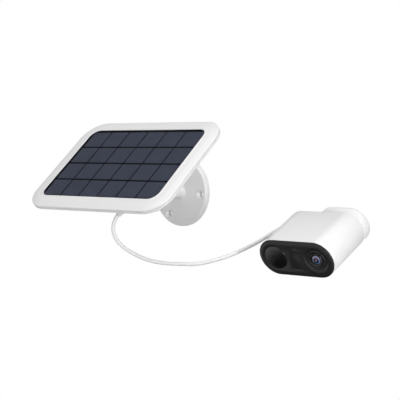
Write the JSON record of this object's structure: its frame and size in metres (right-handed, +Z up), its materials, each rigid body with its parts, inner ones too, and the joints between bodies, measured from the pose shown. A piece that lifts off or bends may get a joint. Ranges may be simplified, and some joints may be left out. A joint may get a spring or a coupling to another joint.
{
  "type": "solar-powered security camera",
  "caption": "Battery security camera with a stadium-shaped white body and dark face, charged by a lead from a tilted solar panel on a round wall bracket with a ball joint.",
  "frame": {"origin": "centre of the wall bracket's round plate, on its back face, which stands on the wall", "axes": "+X along the wall and the panel's long side to the viewer's right, +Y into the wall, +Z up"},
  "size_m": [0.3569, 0.1529, 0.1524],
  "materials": {
    "white_shell": "satin moulded, fine grain",
    "dark_face": "satin dark grey",
    "gloss_black": "polished",
    "panel_cover_glass": "polished",
    "lens_glass": "coated, polished",
    "silicon": "dark blue cells under glass",
    "cell_backing": "black",
    "tinned_ribbon": "tinned copper",
    "circuit_board": "solder mask",
    "chips": "moulded",
    "steel": "plated",
    "brass": "machined",
    "soft_seal": "matt",
    "lead_sheath": "satin white sheath",
    "nylon": "satin",
    "battery_wrap": "shrink wrap",
    "light_guide": "frosted",
    "grey_button": "matt"
  },
  "bodies": {
    "root": {"wall_base": "white_shell", "ball_stud": "steel", "front_panel": "dark_face", "front_seal": "soft_seal", "motion_lens": "gloss_black", "motion_sensor": "steel", "lens_ring": "dark_face", "lens_barrel": "gloss_black", "front_lens": "lens_glass", "image_sensor": "chips", "light_window": "dark_face", "microphone": "dark_face", "status_bar": "light_guide", "camera_housing": "white_shell", "rear_cover": "white_shell", "rear_screws": "steel", "main_board": "circuit_board", "board_parts": "chips", "antenna": "brass", "speaker": "nylon", "battery_cells": "battery_wrap", "battery_tray": "nylon", "usb_socket": "steel", "card_socket": "steel", "memory_card": "nylon", "stand_pin": "steel", "solar_lead": "lead_sheath", "lead_plug": "steel", "plug_boot": "lead_sheath"},
    "tilt_seat": {"ball_seat": "nylon"},
    "pan_cup": {"socket_cup": "white_shell"},
    "clamp": {"clamp_ring": "white_shell"},
    "panel": {"panel_frame": "white_shell", "panel_glass": "panel_cover_glass", "solar_cells": "silicon", "cell_ribbons": "tinned_ribbon", "cell_board": "cell_backing", "panel_gasket": "soft_seal", "panel_back": "white_shell", "panel_insert": "brass", "panel_screws": "steel", "charge_board": "circuit_board", "charge_parts": "chips", "lead_gland": "lead_sheath"},
    "stand_body": {"stand": "white_shell", "stand_insert": "brass", "stand_pad": "soft_seal"},
    "power_key": {"power_button": "grey_button"},
    "reset_key": {"reset_button": "grey_button"},
    "card_cover": {"card_door": "white_shell"}
  },
  "joints": [
    {"name": "bracket_tilt", "type": "hinge", "parent": "root", "child": "tilt_seat", "pos_m": [0, -0.0715, 0], "axis": [1, 0, 0], "range_deg": [-5, 50], "deforming": ["solar_lead"]},
    {"name": "bracket_pan", "type": "hinge", "parent": "tilt_seat", "child": "pan_cup", "pos_m": [0, -0.0715, 0], "axis": [0, 0.766, 0.6428], "range_deg": [-15, 15], "deforming": ["solar_lead"]},
    {"name": "panel_turn", "type": "hinge", "parent": "pan_cup", "child": "panel", "pos_m": [0, -0.0715, 0], "axis": [0, -0.6428, 0.766], "range_deg": [-45, 45], "deforming": ["solar_lead"]},
    {"name": "clamp_turn", "type": "hinge", "parent": "pan_cup", "child": "clamp", "pos_m": [0, -0.0715, 0], "axis": [0, -0.6428, 0.766], "range_deg": [0, 120]},
    {"name": "stand_fold", "type": "hinge", "parent": "root", "child": "stand_body", "pos_m": [0.2142, -0.01914, -0.04174], "axis": [-1, 0, 0], "range_deg": [0, 85]},
    {"name": "power_press", "type": "slide", "parent": "root", "child": "power_key", "axis": [0, -0.8953, -0.4454], "range_m": [0, 0.0006], "stiffness_N_per_m": 400},
    {"name": "reset_press", "type": "slide", "parent": "root", "child": "reset_key", "axis": [0, -0.4454, 0.8953], "range_m": [0, 0.0004], "stiffness_N_per_m": 400},
    {"name": "card_door_hinge", "type": "hinge", "parent": "root", "child": "card_cover", "pos_m": [0.2142, -0.04175, -0.05757], "axis": [1, 0, 0], "range_deg": [0, 100]}
  ]
}
